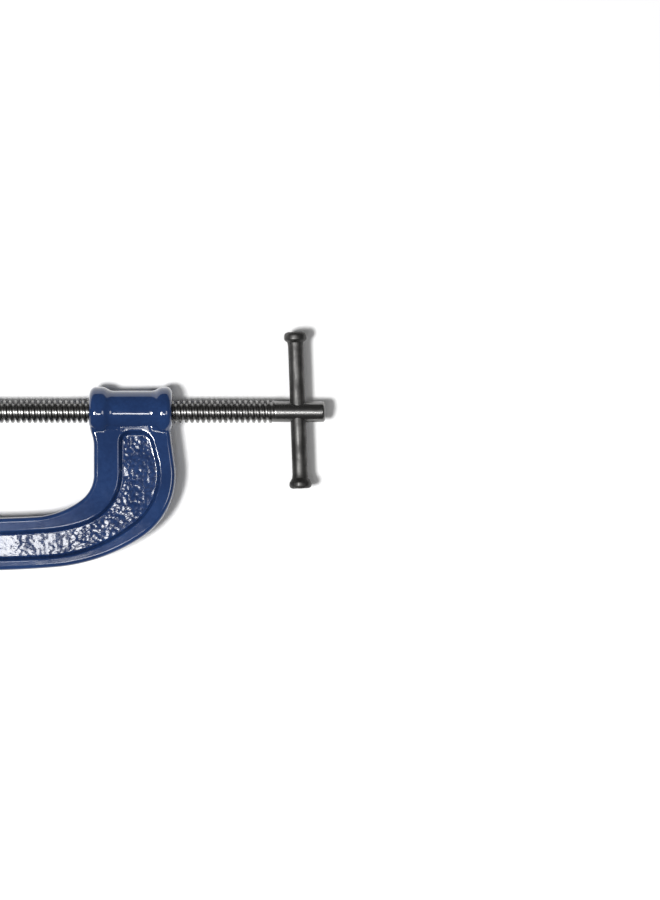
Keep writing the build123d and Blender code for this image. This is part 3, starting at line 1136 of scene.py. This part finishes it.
@dataclass
class LeadScrew:
    """The screw: a ball nose, a neck, a trapezoidal thread and a plain end with a cross hole."""

    ball_centre: float = 80.0 * MM
    ball: float = 6.5 * MM
    neck: float = 4.25 * MM
    nose: float = 5.5 * MM
    thread_start: float = 92.0 * MM
    thread_end: float = 302.0 * MM
    end: float = 337.8 * MM
    plain: float = 7.4 * MM
    crest: float = 8.0 * MM
    root: float = 5.75 * MM
    lead: float = 4.0 * MM
    crest_width: float = 1.464 * MM
    flank_angle: float = radians(15.0)
    clearance: float = 0.3 * MM
    blunting: float = 0.07 * MM
    dent: float = 0.05 * MM
    phase: float = 84.0 * MM
    around: int = 32
    hole: float = 5.9 * MM
    hole_x: float = 318.5 * MM
    groove: tuple[float, float, float] = (0.85 * MM, 2.75 * MM, 5.5 * MM)

    def thread_radius(self, x: np.ndarray, angle: np.ndarray, gap: float = 0.0) -> np.ndarray:
        """Radius of the thread's surface: a trapezoid of the distance to the nearest crest's helix.

        The distance is x - phase - lead * (angle + a quarter turn) / (one turn), folded into half
        a lead either way, and the surface is averaged over a blunting either way to round its edges.

        Args:
            x: distance along the axis.
            angle: angle about the axis from +Y.
            gap: how far the surface stands off, for the tapped bore.

        Returns:
            The radius at each point.
        """
        along = x - self.phase - self.lead * (angle + QUARTER_TURN) / FULL_TURN
        slope = tan(self.flank_angle)
        half_crest = self.crest_width / 2.0 + gap * (1.0 - slope)
        low, high = self.root + gap, self.crest + gap
        total = np.zeros_like(along)
        for shift, weight in ((-self.blunting, 0.25), (0.0, 0.5), (self.blunting, 0.25)):
            near = np.abs((along + shift + self.lead / 2.0) % self.lead - self.lead / 2.0)
            total += weight * np.clip(high - (near - half_crest) / slope, low, high)
        return total

    def _nose_path(self) -> np.ndarray:
        """Half profile of the ball, its ring groove and the neck: radius^2 = ball^2 - station^2.

        Returns:
            Rows of x and radius.
        """
        start, end, depth = self.groove
        neck_at = sqrt(self.ball**2 - self.neck**2)
        front = np.linspace(-self.ball * 0.995, start, 22)
        back = np.linspace(end, neck_at, 10)
        ball = [np.stack([s, np.sqrt(self.ball**2 - s**2)], axis=-1) for s in (front, back)]
        groove = np.array([[start, depth], [end, depth]])
        path = np.concatenate([ball[0], groove, ball[1]])
        path[:, 0] += self.ball_centre
        chamfer = 0.8 * MM
        neck = np.array([[self.thread_start - chamfer, self.neck], [self.thread_start, self.neck + chamfer]])
        return np.concatenate([spread(np.concatenate([path, neck[:1]]), chamfer), neck[1:]])

    def _thread_rings(self) -> np.ndarray:
        """Rings of the threaded length, lead / around apart, so that each quad's diagonal is on a helix.

        Returns:
            Rings for tube_object.
        """
        step = self.lead / self.around
        x = np.arange(self.thread_start, self.thread_end + step / 2.0, step)
        angle = np.arange(self.around) * FULL_TURN / self.around
        grid_x, grid_a = np.meshgrid(x, angle, indexing="ij")
        radius = self.thread_radius(grid_x, grid_a)
        near_end = fade(self.thread_end - 6.5 * MM, self.thread_end, grid_x)
        radius = np.maximum(radius, self.root + (self.plain - self.root) * near_end)
        radius = np.minimum(radius, self.nose + grid_x - self.thread_start)
        radius = np.minimum(radius, self.plain + (self.thread_end - grid_x) * 0.6)
        unrolled = np.stack([grid_x, grid_a * 4.0 * MM, radius * 0.2], axis=-1)
        radius += np.minimum(value_noise(unrolled, 2.1 * MM, 5), 0.0) * self.dent
        return np.stack([grid_x, radius * np.cos(grid_a), radius * np.sin(grid_a)], axis=-1)

    def build(self) -> bpy.types.Object:
        """Makes one skin of nose, thread and plain end, drills the cross hole, and dresses the screw.

        Returns:
            The finished screw.
        """
        tail = [(self.thread_end + 0.02 * MM, self.plain), (self.end, self.plain), (self.end, 0.4 * MM)]
        tail = spread(rounded_path(tail, [2.0 * MM], radians(11.0)), 1.2 * MM)
        parts = [turned_rings(self._nose_path(), self.around), self._thread_rings(),
                 turned_rings(tail, self.around)]
        screw = tube_object("screw_blank", np.concatenate(parts), diagonal=True)
        reach = 2.0 * self.plain
        drill = turned_rings(np.array([[-reach, self.hole], [reach, self.hole]]), 64)
        drill = np.stack([self.hole_x - drill[..., 1], drill[..., 0], drill[..., 2]], axis=-1)
        piece = join_solids("lead_screw", screw, [tube_object("drill", drill)], "DIFFERENCE")
        smooth(piece, radians(50.0))
        piece.data.materials.clear()
        piece.data.materials.append(ThreadSteel().material())
        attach(piece, "screw")
        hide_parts("screw")
        return piece


@dataclass
class TommyBar:
    """The sliding bar: round stock, upset to a mushroom at one end and a bell at the other."""

    centre_x: float = 318.5 * MM
    shift: float = 1.1 * MM
    half: float = 56.0 * MM
    radius: float = 5.5 * MM
    head: float = 8.1 * MM
    lean: float = radians(2.0)
    around: int = 72

    def _path(self) -> np.ndarray:
        """Half profile along the bar, from the bell at its lower end to the mushroom at its upper end.

        Returns:
            Rows of station along the bar and radius.
        """
        bell = [(-self.half, 0.5 * MM), (-self.half, self.head), (-self.half + 4.6 * MM, self.head * 0.965),
                (-self.half + 7.6 * MM, self.radius + 0.35 * MM), (-self.half + 10.0 * MM, self.radius)]
        mushroom = [(self.half - 10.5 * MM, self.radius), (self.half - 7.4 * MM, self.radius + 0.4 * MM),
                    (self.half - 5.6 * MM, self.head), (self.half, self.head - 0.3 * MM),
                    (self.half, 0.5 * MM)]
        rounds = [2.8 * MM, 2.0 * MM, 2.4 * MM, 3.0 * MM, 2.0 * MM, 1.6 * MM, 1.8 * MM, 3.2 * MM]
        return spread(rounded_path(bell + mushroom, rounds, radians(10.0)), 1.3 * MM)

    def build(self) -> bpy.types.Object:
        """Turns the bar, dents its heads, adds the stock's waviness, and lays it in the cross hole.

        Returns:
            The finished bar.
        """
        rings = turned_rings(self._path(), self.around)
        on_head = fade(47.0 * MM, 50.5 * MM, np.abs(rings[..., 0]))
        dents = value_noise(rings, 3.4 * MM, 41) * on_head
        wave = value_noise(rings * np.array([0.3, 1.0, 1.0]), 5.0 * MM, 42)
        radius = np.linalg.norm(rings[..., 1:], axis=-1)
        change = np.minimum(dents * 0.28 * MM, 0.08 * MM) + np.minimum(wave, 0.0) * 0.06 * MM
        rings[..., 1:] *= ((radius + change * fade(0.4 * MM, 4.0 * MM, radius)) / radius)[..., None]
        ends = fade(self.half - 0.6 * MM, self.half - 0.1 * MM, np.abs(rings[..., 0]))
        hollows = np.abs(value_noise(rings, 4.0 * MM, 43)) * 0.3 * MM
        rings[..., 0] -= np.sign(rings[..., 0]) * ends * hollows
        along, side = rings[..., 0] + self.shift, rings[..., 1]
        x = self.centre_x - along * sin(self.lean) - side * cos(self.lean)
        y = along * cos(self.lean) - side * sin(self.lean)
        piece = tube_object("tommy_bar_steel", np.stack([x, y, rings[..., 2]], axis=-1))
        smooth(piece, radians(45.0))
        piece.data.materials.append(BlackBar().material())
        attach(piece, "bar")
        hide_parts("tommy_bar")
        return piece


@dataclass
class SwivelShoe:
    """The shoe: a disc and a hub, hollowed for the ball nose and its ring."""

    face: float = 70.0 * MM
    ball_centre: float = 80.0 * MM
    disc: float = 15.0 * MM
    hub: float = 11.0 * MM
    seat: float = 6.75 * MM
    undercut: tuple[float, float, float] = (-0.3 * MM, 4.0 * MM, 7.8 * MM)
    mouth: float = 6.7 * MM
    back: float = 87.2 * MM
    around: int = 96

    def _path(self) -> np.ndarray:
        """Half profile from the face's middle round the outside, in at the mouth and down the seat.

        Returns:
            Rows of x and radius.
        """
        start, end, wide = self.undercut
        lip = sqrt(self.seat**2 - start**2)
        outside = [(self.face, 0.4 * MM), (self.face, self.disc), (self.face + 5.5 * MM, self.disc),
                   (self.face + 7.0 * MM, self.hub), (self.back, self.hub), (self.back, self.mouth),
                   (self.ball_centre + end, self.mouth), (self.ball_centre + end, wide),
                   (self.ball_centre + start, wide), (self.ball_centre + start, lip)]
        rounds = [1.0 * MM, 1.5 * MM, 1.5 * MM, 1.5 * MM, 0.9 * MM, 0.3 * MM, 0.0, 0.0]
        outer = spread(rounded_path(outside, rounds, radians(12.0)), 1.5 * MM)
        angle = np.linspace(QUARTER_TURN + 0.06, pi - 0.05, 14)
        seat = np.stack([self.ball_centre + self.seat * np.cos(angle), self.seat * np.sin(angle)], axis=-1)
        return np.concatenate([outer, seat])

    def build(self) -> bpy.types.Object:
        """Turns the shoe, leaves a forging's slight waviness off its face, and dresses it.

        Returns:
            The finished shoe.
        """
        rings = turned_rings(self._path(), self.around)
        radius = np.linalg.norm(rings[..., 1:], axis=-1)
        forged = fade(self.face + 1.2 * MM, self.face + 3.0 * MM, rings[..., 0])
        forged *= fade(9.0 * MM, 10.5 * MM, radius)
        wave = np.minimum(value_noise(rings, 4.0 * MM, 51), 0.0) * 0.12 * MM * forged
        rings[..., 1:] *= ((radius + wave) / radius)[..., None]
        piece = tube_object("shoe_forging", rings)
        smooth(piece, radians(40.0))
        piece.data.materials.append(PhosphatedSteel(self.face).material())
        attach(piece, "shoe")
        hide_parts("swivel_shoe")
        return piece


@dataclass
class SnapRing:
    """The split wire ring in the ball's groove."""

    station: float = 81.8 * MM
    radius: float = 6.45 * MM
    wire: float = 0.7 * MM
    gap: float = radians(30.0)
    around: int = 20
    pieces: int = 90

    def build(self) -> bpy.types.Object:
        """Carries the wire's circle round an open arc, whose last rings shrink as a quarter circle.

        Returns:
            The finished ring.
        """
        sweep = FULL_TURN - self.gap
        dome = self.wire / self.radius
        inner = np.linspace(dome, sweep - dome, self.pieces)
        lift = np.linspace(0.12, 0.96, 6)
        drawn_in = dome * (1.0 - np.sqrt(1.0 - lift**2))
        angle = np.concatenate([drawn_in, inner, sweep - drawn_in[::-1]])
        size = self.wire * np.concatenate([lift, np.ones(self.pieces), lift[::-1]])
        turn = np.arange(self.around) * FULL_TURN / self.around
        reach = self.radius + size[:, None] * np.cos(turn)
        x = self.station + size[:, None] * np.sin(turn)
        rings = np.stack([x, reach * np.cos(angle)[:, None], reach * np.sin(angle)[:, None]], axis=-1)
        piece = tube_object("snap_ring_wire", rings[:, ::-1])
        smooth(piece, radians(60.0))
        piece.data.materials.append(SpringWire().material())
        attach(piece, "nose_ring")
        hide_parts("shoe_snap_ring")
        return piece


# ---------------------------------------------------------------------------------------------
# The studio


@dataclass(frozen=True)
class Softbox:
    """A square or oblong light with an even face."""

    name: str
    place: tuple[float, float, float]
    aim: tuple[float, float, float]
    size: tuple[float, float]
    power: float

    def build(self) -> None:
        """Hangs the light at its place, turned to its aim."""
        lamp = bpy.data.lights.new(self.name, "AREA")
        lamp.shape = "RECTANGLE"
        lamp.size, lamp.size_y = self.size
        lamp.energy = self.power
        holder = bpy.data.objects.new(self.name, lamp)
        holder.location = self.place
        holder.rotation_euler = (Vector(self.aim) - Vector(self.place)).to_track_quat("-Z", "Y").to_euler()
        bpy.context.scene.collection.objects.link(holder)


@dataclass
class Studio:
    """A pale floor, soft lights, and a camera that looks straight down on the clamp as it lies."""

    floor_size: float = 6.0
    floor_cells: int = 8
    view_height: float = 0.6426
    distance: float = 2.6
    centre: tuple[float, float] = (0.3414, -0.0273)
    sensor: float = 24.0 * MM
    air: float = 0.07
    lights: tuple[Softbox, ...] = (
        Softbox("key", (-0.67, -0.47, 3.0), (0.20, -0.05, 0.0), (0.50, 0.50), 97.0),
        Softbox("strip", (0.12, -0.61, 3.0), (0.20, 0.0, 0.0), (0.40, 0.28), 5.4),
        Softbox("right", (1.4, -0.25, 3.0), (0.2, -0.05, 0.0), (0.80, 1.00), 13.0),
        Softbox("overhead", (-0.29, -0.160, 3.0), (-0.29, -0.160, 0.0), (0.38, 0.20), 3.8),
    )

    def build(self) -> None:
        """Lays the floor, hangs the lights, and sets the camera, its lens and the plain view."""
        self._floor()
        for light in self.lights:
            light.build()
        scene = bpy.context.scene
        world = bpy.data.worlds.new("studio_air")
        world.use_nodes = True
        world.node_tree.nodes["Background"].inputs["Color"].default_value = (1.0, 1.0, 1.0, 1.0)
        world.node_tree.nodes["Background"].inputs["Strength"].default_value = self.air
        scene.world = world
        lens = bpy.data.cameras.new("camera")
        lens.sensor_fit = "VERTICAL"
        lens.sensor_height = self.sensor / MM
        lens.lens = lens.sensor_height * self.distance / self.view_height
        camera = bpy.data.objects.new("camera", lens)
        camera.location = (*self.centre, self.distance)
        scene.collection.objects.link(camera)
        scene.camera = camera
        scene.view_settings.view_transform = "Standard"

    def _floor(self) -> None:
        """A flat sheet at the height of the clamp's lowest point."""
        lowest = cad_box[0][2]
        half = self.floor_size / 2.0
        cells = self.floor_cells
        row = cells + 1
        side = np.linspace(-half, half, row)
        x, y = np.meshgrid(side, side)
        vertices = np.stack([x.ravel(), y.ravel(), np.full(x.size, lowest)], axis=-1)
        start = (np.arange(cells)[:, None] * row + np.arange(cells)[None, :]).ravel()
        faces = np.stack([start, start + 1, start + row + 1, start + row], axis=-1).tolist()
        floor = mesh_object("floor", vertices, faces)
        floor.data.materials.append(StudioPaper().material())


def main() -> None:
    """Builds the clamp's pieces in order, then the studio."""
    logging.basicConfig(level=logging.INFO, format="%(message)s")
    screw = LeadScrew()
    pieces = [Casting().build(screw), screw.build(), TommyBar().build(), SwivelShoe().build(),
              SnapRing().build()]
    Studio().build()


if __name__ == "__main__":
    main()
